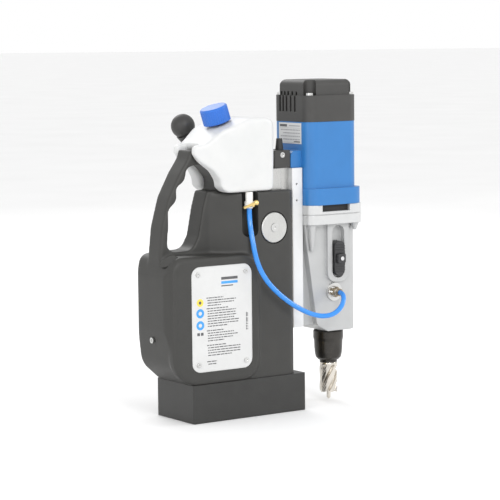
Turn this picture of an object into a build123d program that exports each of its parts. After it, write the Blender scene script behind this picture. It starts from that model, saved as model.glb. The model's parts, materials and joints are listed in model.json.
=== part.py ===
from build123d import *
import math
import os

# Magnetic drill press. Millimetres, +Z up, +X towards the drill, -Y the label side.
# Origin: centre of the magnet base's underside.

# Driving dimensions
BASE_L = 160.0
BASE_W = 80.0
BASE_H = 45.0
BODY_HALF_W = 38.0
FRONT_X = 70.0
REAR_X = -110.0
BODY_TOP = 266.0
HANDLE_HALF_W = 14.0
PAD_Y = -41.0
PANEL_Y = 40.0
FIT = 0.1
RUN = 0.06
GIB_Z = [72, 114, 156, 194, 232]
GLAND = (-78, 82)
ROCKER = (-70, 138)
START = (-44, 138)
STOP = (-18, 138)

# Slide and rack
BAR_BACK_X = 44.0
BAR_NECK_X = 58.0
BAR_FRONT_X = 73.0
BAR_HALF_BACK = 24.0
BAR_HALF_NECK = 18.0
SLIDE_Z0 = 98.5
SLIDE_Z1 = 291.0
PLATE_X1 = 88.4
DOWN_STROKE = 50.0
RAIL_TOP = SLIDE_Z1 - DOWN_STROKE - 0.5
RACK_MODULE = 1.6
PINION_TEETH = 20
PINION_X = 37.5
PINION_Z = 222.5
PINION_R = RACK_MODULE * PINION_TEETH / 2
SHAFT_R = 6.0
BUSH_R = 10.0
BUSH_Y = 26.5
LEVER_Y = 64.0
LEVER_LENGTH = 133.6
LEVER_ANGLE = 117.1
KNOB_R = 14.5

# Drill unit
MOTOR_X = 126.6
MOTOR_W = 75.0
MOTOR_Z0 = 265.0
MOTOR_Z1 = 345.0
CAP_Z1 = 395.0
COLLAR_X = 129.3
COLLAR_L = 81.6
COLLAR_W = 83.0
COLLAR_Z0 = 245.0
FLANGE_Z0 = 221.5
FLANGE_X1 = 170.0
FLANGE_HALF_W = 40.5
CAP_LEDGE = 376.5
CAP_SCREW_INSET = 7.5
VENT_Y = [-10, -1.5, 7, 14, 20.5]
SPLIT_Z = 233.3
SPINDLE_X = 143.8
CASE_HALF_W = 29.0
CASE_Z0 = 90.0
GEAR_X = 122.63
GEAR_Y = 17.56
SLOT_X = 135.8
SLOT_HALF_W = 9.0
SLIDER_HALF_W = 7.6
GEAR_TURN = 0.0
FITTING = (131.0, -29.0, 138.0)
FITTING_TIP_Y = -39.0

# Tool
ARBOR_Z0 = 50.5
ARBOR_Z1 = 88.0
CUTTER_R = 11.0
CUTTER_Z0 = 10.0
CUTTER_Z1 = 48.0
PIN_R = 2.5
PIN_Z0 = 1.0
PIN_HEAD_Z = 80.0
SPRING_TOP = 118.0

# Coolant
TANK_TOP = 353.0
CAP_TILT = 18.0
CAP_RIBS = 36
VALVE_X = 5.2
VALVE_Y = -33.5
HOSE_D = 6.0
HOSE_ROUTE = [
    (5.2, -33.5, 247.0),
    (5.2, -33.5, 233.0),
    (2.2, -43.5, 211.0),
    (4.2, -49.5, 184.0),
    (15.5, -52.0, 162.0),
    (35.0, -53.0, 143.0),
    (58.5, -54.5, 126.5),
    (84.0, -56.5, 115.0),
    (103.0, -59.0, 113.5),
    (117.0, -58.5, 119.0),
    (127.0, -55.0, 128.5),
    (131.0, -48.5, 138.0),
    (131.0, -39.0, 138.0),
]

os.makedirs("parts", exist_ok=True)


def save(name, shape):
    export_step(shape, f"parts/{name}.step")


def block(x0, x1, y0, y1, z0, z1):
    centre = Location(((x0 + x1) / 2, (y0 + y1) / 2, (z0 + z1) / 2))
    return centre * Box(x1 - x0, y1 - y0, z1 - z0)


def rod_z(x, y, r, z0, z1):
    return Location((x, y, (z0 + z1) / 2)) * Cylinder(r, z1 - z0)


def rod_y(x, z, r, y0, y1):
    return Location((x, (y0 + y1) / 2, z), (90, 0, 0)) * Cylinder(r, y1 - y0)


def rod_x(y, z, r, x0, x1):
    return Location(((x0 + x1) / 2, y, z), (0, 90, 0)) * Cylinder(r, x1 - x0)


def ring_z(x, y, r_out, r_in, z0, z1):
    return rod_z(x, y, r_out, z0, z1) - rod_z(x, y, r_in, z0 - 1, z1 + 1)


def rounded_face(points):
    """A closed outline whose corners are (u, v, corner radius)."""
    path = FilletPolyline(
        *[(u, v) for u, v, r in points], radius=[r for u, v, r in points], close=True
    )
    return make_face(path)


def side_solid(points, half_width):
    """An outline in the XZ plane, extruded to both sides in Y."""
    return extrude(Plane.XZ * rounded_face(points), half_width, both=True)


def plan_solid(points, z0, z1):
    """An outline in the XY plane, extruded from z0 to z1."""
    return extrude(Plane.XY.offset(z0) * rounded_face(points), z1 - z0, dir=(0, 0, 1))


def mirrored(points):
    """A plan outline given for +Y, closed by its mirror image."""
    return points + [(x, -y, r) for x, y, r in reversed(points)]


def rounded_post(cx, half_x, half_y, r, z0, z1):
    return plan_solid(
        mirrored([(cx - half_x, half_y, r), (cx + half_x, half_y, r)]), z0, z1
    )


def involute_gear(teeth, module, height, turn=0.0):
    """A stub-tooth gear with involute flanks and running backlash."""
    pitch_r = teeth * module / 2
    base_r = pitch_r * math.cos(math.radians(20))
    tip_r = pitch_r + 0.8 * module
    root_r = pitch_r - 1.1 * module
    half = 0.42 * math.pi / teeth

    def flank(r):
        a = math.acos(min(1.0, base_r / max(r, base_r)))
        return math.tan(a) - a

    at_pitch = flank(pitch_r)
    radii = [max(root_r, base_r) + (tip_r - max(root_r, base_r)) * i / 4 for i in range(5)]
    side = [(root_r, half + at_pitch)] + [(r, half + at_pitch - flank(r)) for r in radii]
    if side[0][0] >= side[1][0]:
        side = side[1:]
    points = []
    for k in range(teeth):
        centre = turn + 2 * math.pi * k / teeth
        for r, a in side:
            points.append((r * math.cos(centre - a), r * math.sin(centre - a)))
        for r, a in reversed(side):
            points.append((r * math.cos(centre + a), r * math.sin(centre + a)))
    return extrude(make_face(Polyline(*points, close=True)), height)


def screw_head_y(x, z, r, y, height=1.6, side=-1):
    """A pan head with a hexagon socket, standing out of a face at y towards side."""
    y0, y1 = sorted((y, y + side * height))
    socket0, socket1 = sorted((y + side * 0.6, y + side * (height + 1)))
    return rod_y(x, z, r, y0, y1) - rod_y(x, z, 0.45 * r, socket0, socket1)


# ------------------------------------------------------------------ magnet base
def magnet_base():
    shell = block(-BASE_L / 2, BASE_L / 2, -BASE_W / 2, BASE_W / 2, 0, BASE_H)
    shell = chamfer(shell.edges().filter_by(Axis.Z), 1.2)
    outer = rounded_post(0, 66, 28, 12, 0, 34)
    pole = rounded_post(0, 46, 12, 6, 0, 34)
    groove = outer - pole
    save("magnet_housing", shell - groove)
    coil = rounded_post(0, 65, 27, 11, 9, 32) - rounded_post(0, 47, 13, 7, 9, 32)
    save("magnet_coil", coil)
    fill = rounded_post(0, 66, 28, 12, 0.4, 8.9) - rounded_post(0, 46, 12, 6, 0.4, 8.9)
    save("magnet_potting", fill)


# ------------------------------------------------------------------ stand housing
WINDOW = [
    (-56, 298.5, 6),
    (-67, 294.5, 6),
    (-73.5, 280.5, 4),
    (-82, 271, 4),
    (-84, 259, 4),
    (-92.5, 246, 5),
    (-95.5, 232, 8),
    (-96, 208, 7),
    (-90, 200, 6),
    (-62, 200, 9),
    (-53, 216, 6),
    (-46, 250, 3),
    (-40.5, 268, 2),
    (-28.5, 268, 1.5),
    (-27, 280, 7),
    (-43, 298, 8),
]
HANDLE = [
    (-108, 150, 4),
    (-106.5, 196, 10),
    (-103, 228, 20),
    (-93, 263, 20),
    (-78, 290, 20),
    (-66, 307, 10),
    (-62.5, 317, 1.5),
    (-57, 316, 1.5),
    (-38, 304, 12),
    (-20, 288, 10),
    (-14, 270, 6),
    (-14, 190, 2),
    (-50, 150, 2),
]
REAR_LOBE = [
    (FRONT_X, 45, 1),
    (FRONT_X, 192, 1),
    (-98, 192, 22),
    (REAR_X, 172, 12),
    (REAR_X, 110, 20),
    (-102, 66, 24),
    (-80, 45, 6),
]


def stand_housing():
    lobe = side_solid(REAR_LOBE, BODY_HALF_W)
    front = mirrored([(-120, 38, 1), (62, 38, 5), (FRONT_X, 30, 3)])
    lobe = lobe & plan_solid(front, 40, 280)
    handle = side_solid(HANDLE, HANDLE_HALF_W)
    waist = mirrored([(-58, 13, 3), (-38, 14, 10), (2, 38, 14), (62, 38, 5), (FRONT_X, 30, 3)])
    column = plan_solid(waist, 185, BODY_TOP)
    pad = side_solid([(-100, 48, 24), (14, 48, 24), (14, 194, 24), (-100, 194, 24)], 1.5)
    pad = Location((0, PAD_Y + 1.5, 0)) * pad
    pad = pad & block(-120, 80, PAD_Y, -BODY_HALF_W + 0.01, 45, 266)
    body = lobe + handle + column + pad
    body -= side_solid(WINDOW, 60)
    # column channel for the slide
    body -= block(BAR_BACK_X - FIT, 90, -26, 26, BASE_H - 1, BODY_TOP + 1)
    # pinion chamber, bush bores, end-disc recess
    body -= rod_y(PINION_X, PINION_Z, 19.0, -9, 9)
    body -= rod_y(PINION_X, PINION_Z, SHAFT_R + 1, -BUSH_Y - 1, BUSH_Y + 1)
    for side in (-1, 1):
        y0, y1 = sorted((side * BUSH_Y, side * (BODY_HALF_W + 1)))
        body -= rod_y(PINION_X, PINION_Z, BUSH_R, y0, y1)
    body -= rod_y(PINION_X, PINION_Z, 19.5, -BODY_HALF_W - 1, -35)
    # valve groove
    groove = side_solid([(-5, 213, 9), (15, 213, 9), (15, 280, 1), (-5, 280, 1)], 7)
    body -= Location((0, -31.5, 0)) * groove
    # electronics bay, open to +Y behind the control panel
    body -= block(-94, -4, -33, 45, 64, 174)
    body -= block(-98, 0, 36, 45, 60, 178)
    # label plate recess
    recess = side_solid([(-82, 60, 12), (2.4, 60, 12), (2.4, 183.5, 12), (-82, 183.5, 12)], 0.7)
    body -= Location((0, PAD_Y + 0.5, 0)) * recess
    # gib screw holes, open to +Y, and gland hole
    for z in GIB_Z:
        body -= rod_y(64, z, 2.5, 26, 50)
    save("stand_housing", body)


def stand_fittings():
    plate = side_solid([(-82, 60, 12), (2.4, 60, 12), (2.4, 183.5, 12), (-82, 183.5, 12)], 0.6)
    save("label_plate", Location((0, PAD_Y + 0.6, 0)) * plate)
    heads = [
        screw_head_y(x, z, 2.6, PAD_Y)
        for x in (-73, -6.6)
        for z in (69, 174.5)
    ]
    save("plate_screws", Compound(children=heads))
    rails = []
    for side in (-1, 1):
        y0, y1 = sorted((side * (BAR_HALF_NECK + FIT), side * 26))
        rails.append(block(BAR_NECK_X + FIT, 69.5, y0, y1, 46, RAIL_TOP))
        y0, y1 = sorted((side * (BAR_HALF_BACK + FIT), side * 26))
        rails.append(block(BAR_BACK_X, BAR_NECK_X - FIT, y0, y1, 46, RAIL_TOP))
    save("guide_rails", Compound(children=rails))
    screws = [rod_y(64, z, 2.4, 26, 39.2) for z in GIB_Z]
    save("gib_screws", Compound(children=screws))
    rear = rod_x(0, 97, 3.4, REAR_X - 1.8, REAR_X) - rod_x(0, 97, 1.5, REAR_X - 3, REAR_X - 0.8)
    save("rear_screw", rear)
    gx, gz = GLAND
    gland = rod_y(gx, gz, 5.9, PANEL_Y - 8, PANEL_Y) + rod_y(gx, gz, 9, PANEL_Y, PANEL_Y + 5)
    gland -= rod_y(gx, gz, 3.4, PANEL_Y - 10, PANEL_Y + 12)
    save("mains_gland", gland)
    bushes = []
    for side in (-1, 1):
        y0, y1 = sorted((side * BUSH_Y, side * 34.5))
        bush = rod_y(PINION_X, PINION_Z, BUSH_R, y0, y1)
        bushes.append(bush - rod_y(PINION_X, PINION_Z, SHAFT_R + RUN, y0 - 1, y1 + 1))
    save("feed_bushes", Compound(children=bushes))


# ------------------------------------------------------------------ control panel
def controls():
    panel = side_solid([(-97.5, 60.5, 8), (-0.5, 60.5, 8), (-0.5, 177.5, 8), (-97.5, 177.5, 8)], 2)
    panel = Location((0, PANEL_Y - 2, 0)) * panel
    rx, rz = ROCKER
    panel -= block(rx - 8, rx + 8, 30, 50, rz - 12, rz + 12)
    for x, z in (START, STOP):
        panel -= rod_y(x, z, 9.0, 30, 50)
    panel -= rod_y(GLAND[0], GLAND[1], 5.9, 30, 50)
    save("control_panel", panel)
    rocker = side_solid([(rx - 7.6, rz - 11.6, 1), (rx + 7.6, rz - 11.6, 1),
                         (rx + 7.6, rz + 11.6, 1), (rx - 7.6, rz + 11.6, 1)], 4)
    rocker = Location((0, PANEL_Y - 1.5, 0)) * rocker
    rocker -= Location((rx, PANEL_Y + 4.2, rz + 7), (-10, 0, 0)) * Box(20, 4, 20)
    rocker = rocker & rod_x(PANEL_Y - 4, rz, 11.4, -200, 200)
    save("magnet_switch", rocker)
    for name, (x, z) in (("start_button", START), ("stop_button", STOP)):
        button = rod_y(x, z, 8.6, PANEL_Y - 6, PANEL_Y + 3.6)
        button = fillet(button.edges().sort_by(Axis.Y)[-1], 1.4)
        save(name, button)
    board = block(-86, -12, 14, 15.6, 76, 164)
    for x, z, w in ((-70, 138, 14), (-44, 138, 14), (-18, 138, 14), (-60, 100, 26)):
        board += block(x - w / 2, x + w / 2, 15.6, 31.0, z - 9, z + 9)
    save("circuit_board", board)
    heads = [
        screw_head_y(x, z, 2.6, PANEL_Y, side=1)
        for x in (-91, -7)
        for z in (67, 171)
    ]
    save("panel_screws", Compound(children=heads))


# ------------------------------------------------------------------ slide
def slide():
    back = block(BAR_BACK_X, BAR_NECK_X - 2 * FIT, -BAR_HALF_BACK, BAR_HALF_BACK, SLIDE_Z0, SLIDE_Z1)
    neck = block(BAR_BACK_X, BAR_FRONT_X, -BAR_HALF_NECK, BAR_HALF_NECK, SLIDE_Z0, SLIDE_Z1)
    bar = back + neck
    rack_back = PINION_X + PINION_R + 1.25 * RACK_MODULE
    bar -= block(BAR_BACK_X - 1, rack_back + 5.5, -8, 8, SLIDE_Z0 - 1, SLIDE_Z1 + 1)
    save("slide_bar", bar)
    pitch = math.pi * RACK_MODULE
    pitch_x = PINION_X + PINION_R
    tip = 0.8 * RACK_MODULE
    root = 1.1 * RACK_MODULE
    half = 0.42 * pitch / 2
    slope = math.tan(math.radians(20))
    points = [(rack_back + 5.5, SLIDE_Z0)]
    first = math.ceil((SLIDE_Z0 + 3 - PINION_Z) / pitch)
    last = math.floor((SLIDE_Z1 - 3 - PINION_Z) / pitch)
    points.append((pitch_x + root, SLIDE_Z0))
    for k in range(first, last + 1):
        z = PINION_Z + (k + 0.5) * pitch
        if z + half > SLIDE_Z1 - 1:
            continue
        points.append((pitch_x + root, z - half - root * slope))
        points.append((pitch_x - tip, z - half + tip * slope))
        points.append((pitch_x - tip, z + half - tip * slope))
        points.append((pitch_x + root, z + half + root * slope))
    points.append((pitch_x + root, SLIDE_Z1))
    points.append((rack_back + 5.5, SLIDE_Z1))
    face = make_face(Polyline(*points, close=True))
    save("feed_rack", extrude(Plane.XZ * face, 7.5, both=True))
    plate = block(BAR_FRONT_X, PLATE_X1, -26, 26, SLIDE_Z0, SLIDE_Z1 - 0.5)
    plate = chamfer(plate.edges().filter_by(Axis.Z), 0.8)
    for z in (271.3, 251.7):
        plate -= rod_y(79.4, z, 1.25, -30, -18)
    save("slide_plate", plate)
    top = block(50, 74, -22, 22, SLIDE_Z1, 312)
    top = fillet(top.edges().filter_by(Axis.Z), 2)
    top -= rod_y(62.5, 306.6, 3.6, -30, -19)
    save("top_block", top)
    screw = rod_y(62.5, 306.6, 3.4, -21.6, -19) - rod_y(62.5, 306.6, 1.6, -23, -20)
    save("block_screw", screw)
    boot = Location((64.3, -12, 312)) * extrude(Circle(5), 14, taper=6)
    save("cable_boot", boot)


# ------------------------------------------------------------------ feed
def feed():
    gear = involute_gear(PINION_TEETH, RACK_MODULE, 14)
    gear = Location((PINION_X, 7, PINION_Z), (90, 0, 0)) * gear
    shaft = rod_y(PINION_X, PINION_Z, SHAFT_R, -35.4, 60)
    save("pinion_shaft", gear + shaft)
    hub = rod_y(PINION_X, PINION_Z, 17, 41, 78) - rod_y(PINION_X, PINION_Z, SHAFT_R, 30, 60)
    hub = fillet(hub.edges().sort_by(Axis.Y)[-1], 3)
    levers = []
    knobs = []
    for k in range(3):
        turn = LEVER_ANGLE + 120 * k
        place = Location((PINION_X, LEVER_Y, PINION_Z), (0, -turn, 0)) * Location((0, 0, 0), (0, 90, 0))
        hub -= place * Location((0, 0, 14)) * Cylinder(5, 10)
        levers.append(place * Location((0, 0, (9 + LEVER_LENGTH) / 2)) * Cylinder(5, LEVER_LENGTH - 9))
        knob = Location((0, 0, 0)) * Sphere(KNOB_R)
        stem = Location((0, 0, -17)) * Cone(8, 12.5, 14)
        knob = knob + stem - Location((0, 0, -15)) * Cylinder(5, 30)
        knobs.append(place * Location((0, 0, LEVER_LENGTH)) * knob)
    save("feed_hub", hub)
    save("feed_levers", Compound(children=levers))
    save("lever_knobs", Compound(children=knobs))
    disc = rod_y(PINION_X, PINION_Z, 18.0, -39, -35.4)
    disc = chamfer(disc.edges().sort_by(Axis.Y)[0], 0.8)
    disc -= rod_y(PINION_X, PINION_Z, 5.2, -45, -37.2)
    save("shaft_disc", disc)
    screw = rod_y(PINION_X, PINION_Z, 5.0, -39.6, -37.2)
    save("disc_screw", screw - rod_y(PINION_X, PINION_Z, 1.8, -45, -38.4))


# ------------------------------------------------------------------ motor
def motor():
    half = MOTOR_W / 2
    shell = rounded_post(MOTOR_X, half, half, 13.5, MOTOR_Z0, MOTOR_Z1)
    shell += rounded_post(COLLAR_X, COLLAR_L / 2, COLLAR_W / 2, 16, COLLAR_Z0, MOTOR_Z0)
    boss = side_solid([(74, SLIDE_Z1 - 0.5, 1), (92, SLIDE_Z1 - 0.5, 1), (92, 311, 1), (74, 311, 7)], 22)
    shell += boss
    shell -= rod_z(MOTOR_X, 0, 33.0, COLLAR_Z0 + 4, MOTOR_Z1 + 1)
    shell -= rod_z(MOTOR_X, 0, 9.0, COLLAR_Z0 - 1, COLLAR_Z0 + 5)
    save("motor_housing", shell)
    lower = rounded_post(MOTOR_X, half + 0.25, half + 0.25, 13.5, MOTOR_Z1, CAP_LEDGE)
    upper = rounded_post(MOTOR_X, half - 2.3, half - 2.3, 12, CAP_LEDGE, CAP_Z1)
    upper = fillet(upper.faces().sort_by(Axis.Z)[-1].edges(), 7)
    cap = lower + upper
    cap -= rounded_post(MOTOR_X, half - 6, half - 6, 9, MOTOR_Z1 - 1, CAP_Z1 - 4)
    cap += ring_z(MOTOR_X, 0, 15, 11, 364, CAP_Z1 - 3)
    outline = rounded_post(MOTOR_X, half + 0.25, half + 0.25, 13.5, MOTOR_Z1, CAP_Z1)
    corner = half - CAP_SCREW_INSET
    for sx in (-1, 1):
        for sy in (-1, 1):
            x = MOTOR_X + sx * corner
            y = sy * corner
            cap += rod_z(x, y, 5.5, MOTOR_Z1, CAP_LEDGE) & outline
            cap += rod_z(x, y, 9.5, CAP_LEDGE - 2.5, CAP_LEDGE) & outline
            cap += ring_z(x, y, 9.5, 7.5, CAP_LEDGE, 391) & upper
            cap -= rod_z(x, y, 7.5, CAP_LEDGE, CAP_Z1 + 1)
            cap -= rod_z(x, y, 2.6, MOTOR_Z1 - 1, CAP_LEDGE + 1)
    for y in VENT_Y:
        slot = side_solid([(-60, 357, 1.7), (60, 357, 1.7), (60, 381, 1.7), (-60, 381, 1.7)], 1.8)
        wall = block(MOTOR_X - 60, MOTOR_X - 20, -40, 40, 350, 390)
        wall += block(MOTOR_X + 20, MOTOR_X + 60, -40, 40, 350, 390)
        cap -= (Location((MOTOR_X, y, 0)) * slot) & wall
    save("motor_cap", cap)
    screws = []
    for sx in (-1, 1):
        for sy in (-1, 1):
            x = MOTOR_X + sx * corner
            y = sy * corner
            head = rod_z(x, y, 4.4, CAP_LEDGE, CAP_LEDGE + 3)
            head -= rod_z(x, y, 1.9, CAP_LEDGE + 1.4, CAP_LEDGE + 4)
            screws.append(head + rod_z(x, y, 2.5, MOTOR_Z1 + 0.5, CAP_LEDGE))
    save("cap_screws", Compound(children=screws))
    save("field_stator", ring_z(MOTOR_X, 0, 32.9, 22.5, 270, 324))
    core = rod_z(MOTOR_X, 0, 4, FLANGE_Z0 + 2, 374) + rod_z(MOTOR_X, 0, 21.6, 272, 322)
    pinion = Location((MOTOR_X, 0, 224)) * involute_gear(8, 1.0, 9, turn=GEAR_TURN)
    save("armature", core - rod_z(MOTOR_X, 0, 4.2, 223, 233) + pinion)
    save("commutator", ring_z(MOTOR_X, 0, 11, 4, 332, 347))
    fan = ring_z(MOTOR_X, 0, 8, 4, 252, 264) + ring_z(MOTOR_X, 0, 28, 8, 252, 253.5)
    for k in range(11):
        blade = Location((MOTOR_X, 0, 258.5), (0, 0, 360 * k / 11)) * Location((17.5, 0, 0))
        fan += blade * Box(20.5, 1.4, 11)
    save("cooling_fan", fan)
    holders = [block(MOTOR_X - 5, MOTOR_X + 5, s - 9, s + 9, 334, 345) for s in (-21, 21)]
    save("brush_holders", Compound(children=holders))
    bearings = [ring_z(MOTOR_X, 0, 11, 4 + RUN, z, z + 8) for z in (235, 365)]
    save("motor_bearings", Compound(children=bearings))
    save("rating_label", block(MOTOR_X - half - 0.4, MOTOR_X - half, -23, 23, 318.5, 343.5))


# ------------------------------------------------------------------ gearbox
def gear_mesh_turn(teeth_a, turn_a, teeth_b, angle):
    """The turn that puts gear b's tooth gap on gear a's tooth, seen along angle from a to b."""
    phase = (angle - turn_a) * teeth_a
    return angle + math.pi - (math.pi - phase) / teeth_b


def gearbox():
    middle = (PLATE_X1 + FLANGE_X1) / 2
    length = FLANGE_X1 - PLATE_X1
    flange = rounded_post(middle, length / 2, FLANGE_HALF_W, 11, FLANGE_Z0, COLLAR_Z0)
    flange -= rod_z(MOTOR_X, 0, 11, 235, COLLAR_Z0 + 1)
    flange -= rod_z(MOTOR_X, 0, 6.5, FLANGE_Z0 - 1, 236)
    flange -= rod_z(GEAR_X, GEAR_Y, 16, FLANGE_Z0 - 1, 234)
    flange -= rod_z(GEAR_X, GEAR_Y, 4 + RUN, 233, 242)
    flange -= rod_z(SPINDLE_X, 0, 12, FLANGE_Z0 - 1, 224)
    flange -= block(107, 148, -FLANGE_HALF_W - 1, -27, 237, COLLAR_Z0 + 1)
    groove = rounded_post(middle, length / 2 + 5, FLANGE_HALF_W + 5, 12, SPLIT_Z - 0.5, SPLIT_Z + 0.5)
    flange -= groove - rounded_post(middle, length / 2 - 0.8, FLANGE_HALF_W - 0.8, 10, 230, 240)
    save("flange_plate", flange)

    front = mirrored([(80, CASE_HALF_W, 1), (FLANGE_X1 - 1, CASE_HALF_W, 16)])
    side = [(89, FLANGE_Z0, 1), (FLANGE_X1, FLANGE_Z0, 1), (FLANGE_X1 - 2, 98, 5),
            (163, CASE_Z0, 3), (122, CASE_Z0, 3), (106, 99, 8), (91, 200, 30)]
    case = side_solid(side, CASE_HALF_W) & plan_solid(front, CASE_Z0, FLANGE_Z0)
    case += block(PLATE_X1, 118, -20, 20, SLIDE_Z0, FLANGE_Z0)
    for sx, tall in ((97, 32), (161, 9)):
        for sy in (-32, 32):
            boss = Location((sx, sy, FLANGE_Z0 - tall / 2)) * Cone(2, 5.5, tall)
            case += boss & block(80, 175, -FLANGE_HALF_W + 1, FLANGE_HALF_W - 1, 150, FLANGE_Z0)
    pad = side_solid([(SLOT_X - 16, 150, 12), (SLOT_X + 16, 150, 12),
                      (SLOT_X + 16, FLANGE_Z0, 1), (SLOT_X - 16, FLANGE_Z0, 1)], 4)
    case += Location((0, -CASE_HALF_W, 0)) * pad
    low_x, high_x, end_r = SLOT_X - SLOT_HALF_W, SLOT_X + SLOT_HALF_W, SLOT_HALF_W - 0.1
    slot = side_solid([(low_x, 155, end_r), (high_x, 155, end_r),
                       (high_x, 219, end_r), (low_x, 219, end_r)], 5)
    case -= Location((0, -31, 0)) * slot
    case -= block(SLOT_X - 3.3, SLOT_X + 3.3, -27, -10, 175.5, 200)
    # gear chamber, spindle bore, bearing seats
    case -= rod_z(SPINDLE_X, 0, 24.4, 203.5, FLANGE_Z0 + 1)
    case -= rod_z(GEAR_X, GEAR_Y, 8.2, 203.5, FLANGE_Z0 + 1)
    case -= rod_z(SPINDLE_X, 0, 18, 184, 204)
    case -= rod_z(SPINDLE_X, 0, 14, CASE_Z0 - 1, 200)
    case -= rod_z(SPINDLE_X, 0, 18, CASE_Z0 - 1, 106)
    case -= rod_z(GEAR_X, GEAR_Y, 4 + RUN, 192, 204)
    save("gearbox_casing", case)
    bearings = [ring_z(SPINDLE_X, 0, 18, 10 + RUN, z, z + 12) for z in (94, 184)]
    save("spindle_bearings", Compound(children=bearings))

    to_inter = math.atan2(GEAR_Y, GEAR_X - MOTOR_X)
    turn_big = gear_mesh_turn(8, GEAR_TURN, 28, to_inter)
    inter = rod_z(GEAR_X, GEAR_Y, 4, 194, 240)
    inter += Location((GEAR_X, GEAR_Y, 224)) * involute_gear(28, 1.0, 8, turn=turn_big)
    inter += Location((GEAR_X, GEAR_Y, 206)) * involute_gear(10, 1.25, 12)
    save("intermediate_shaft", inter)
    to_spindle = math.atan2(-GEAR_Y, SPINDLE_X - GEAR_X)
    turn_final = gear_mesh_turn(10, 0.0, 34, to_spindle)
    final = Location((SPINDLE_X, 0, 207)) * involute_gear(34, 1.25, 10, turn=turn_final)
    save("spindle_gear", final - rod_z(SPINDLE_X, 0, 10, 200, 220))
    spindle = rod_z(SPINDLE_X, 0, 10, ARBOR_Z1, 221)
    save("spindle", spindle - rod_z(SPINDLE_X, 0, 5, ARBOR_Z1 - 1, SPRING_TOP))

    x, y, z = FITTING
    fitting = rod_y(x, z, 11, y - 2.5, y) + rod_y(x, z, 4.5, FITTING_TIP_Y, y - 2)
    hexagon = Location((x, y - 2, z), (90, 0, 0)) * extrude(RegularPolygon(6.2, 6), 4)
    save("coolant_fitting", fitting + hexagon)

    low_x, high_x = SLOT_X - SLIDER_HALF_W, SLOT_X + SLIDER_HALF_W
    slider = side_solid([(low_x, 158, 7), (high_x, 158, 7), (high_x, 200, 7), (low_x, 200, 7)], 5)
    slider = Location((0, -31.2, 0)) * slider
    slider += block(SLOT_X - 3, SLOT_X + 3, -26.5, -20, 176, 182)
    for z in (163, 166, 169, 189, 192, 195):
        slider -= block(SLOT_X - 9, SLOT_X + 9, -37, -35.5, z - 0.7, z + 0.7)
    slider -= block(SLOT_X - 5.6, SLOT_X + 5.6, -45, -30, 173.4, 184.6)
    save("gear_selector", slider)
    button = block(SLOT_X - 5.5, SLOT_X + 5.5, -40.6, -32.4, 173.5, 184.5)
    button = fillet(button.edges().filter_by(Axis.Y), 1.5)
    button -= rod_y(SLOT_X, 179, 2.6, -42, -39.6)
    save("selector_button", button)


# ------------------------------------------------------------------ tool
def tool():
    arbor = Location((SPINDLE_X, 0, 0)) * revolve(
        Plane.XZ * make_face(Polyline(
            (0, ARBOR_Z0), (12.5, ARBOR_Z0), (15.5, 53.5), (17, 60), (17.6, 74),
            (18.5, 78), (18.5, 86), (17, ARBOR_Z1), (0, ARBOR_Z1), close=True)), Axis.Z)
    arbor -= rod_z(SPINDLE_X, 0, 9.5, ARBOR_Z0 - 1, 78.2)
    arbor -= rod_z(SPINDLE_X, 0, 5, 78, ARBOR_Z1 + 1)
    for turn in (326, 146):
        hole = Location((SPINDLE_X, 0, 61), (0, 0, turn)) * Location((14, 0, 0), (0, 90, 0))
        arbor -= hole * Cylinder(3.6, 12)
    save("arbor", arbor)
    screws = []
    for turn in (326, 146):
        place = Location((SPINDLE_X, 0, 61), (0, 0, turn)) * Location((13, 0, 0), (0, 90, 0))
        screw = place * Cylinder(3.5, 6)
        screws.append(screw - place * Location((0, 0, 2)) * Cylinder(1.8, 4))
    save("set_screws", Compound(children=screws))
    cutter = rod_z(SPINDLE_X, 0, 9.4, CUTTER_Z1 - 1, 78)
    cutter += rod_z(SPINDLE_X, 0, CUTTER_R, CUTTER_Z0, CUTTER_Z1)
    cutter -= rod_z(SPINDLE_X, 0, 7.4, CUTTER_Z0 - 1, 40)
    for k in range(5):
        for j in range(9):
            turn = 72 * k - 9.5 * j
            z = CUTTER_Z0 + 3.2 * j
            notch = Location((SPINDLE_X, 0, z), (0, 0, turn)) * Location((CUTTER_R + 0.6, 0, 0))
            cutter -= notch * Box(4.6, 5.0, 4.4)
    cutter -= rod_z(SPINDLE_X, 0, PIN_R + RUN, 30, 80)
    save("annular_cutter", cutter)
    pin = rod_z(SPINDLE_X, 0, PIN_R, PIN_Z0 + 2, PIN_HEAD_Z)
    pin += Location((SPINDLE_X, 0, PIN_Z0 + 1)) * Cone(0.8, PIN_R, 2)
    pin += rod_z(SPINDLE_X, 0, 4.2, PIN_HEAD_Z, PIN_HEAD_Z + 4)
    save("pilot_pin", pin)
    start = PIN_HEAD_Z + 4.9
    coil = Helix(pitch=(SPRING_TOP - 0.9 - start) / 7, height=SPRING_TOP - 0.9 - start, radius=3.4)
    wire = Plane(origin=coil @ 0, z_dir=coil % 0) * Circle(0.6)
    save("ejector_spring", Location((SPINDLE_X, 0, start)) * sweep(wire, path=coil))


# ------------------------------------------------------------------ coolant
TANK_SIDE = [
    (-64, 313, 4), (-57, 303.5, 8), (-41, 292, 8), (-33.5, 281, 8), (-33, 273, 5),
    (-25, BODY_TOP, 5), (39.5, BODY_TOP, 5), (43, TANK_TOP, 16), (5, TANK_TOP - 0.6, 14),
    (-29, 339.5, 10), (-50, 323.5, 10), (-63, 321, 3),
]
SADDLE = [
    (-80, 250, 1), (-13.6, 250, 1), (-13.6, 292, 8), (-37, 309, 8), (-51, 318, 3), (-53, 345, 1),
    (-80, 345, 1),
]


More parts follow.
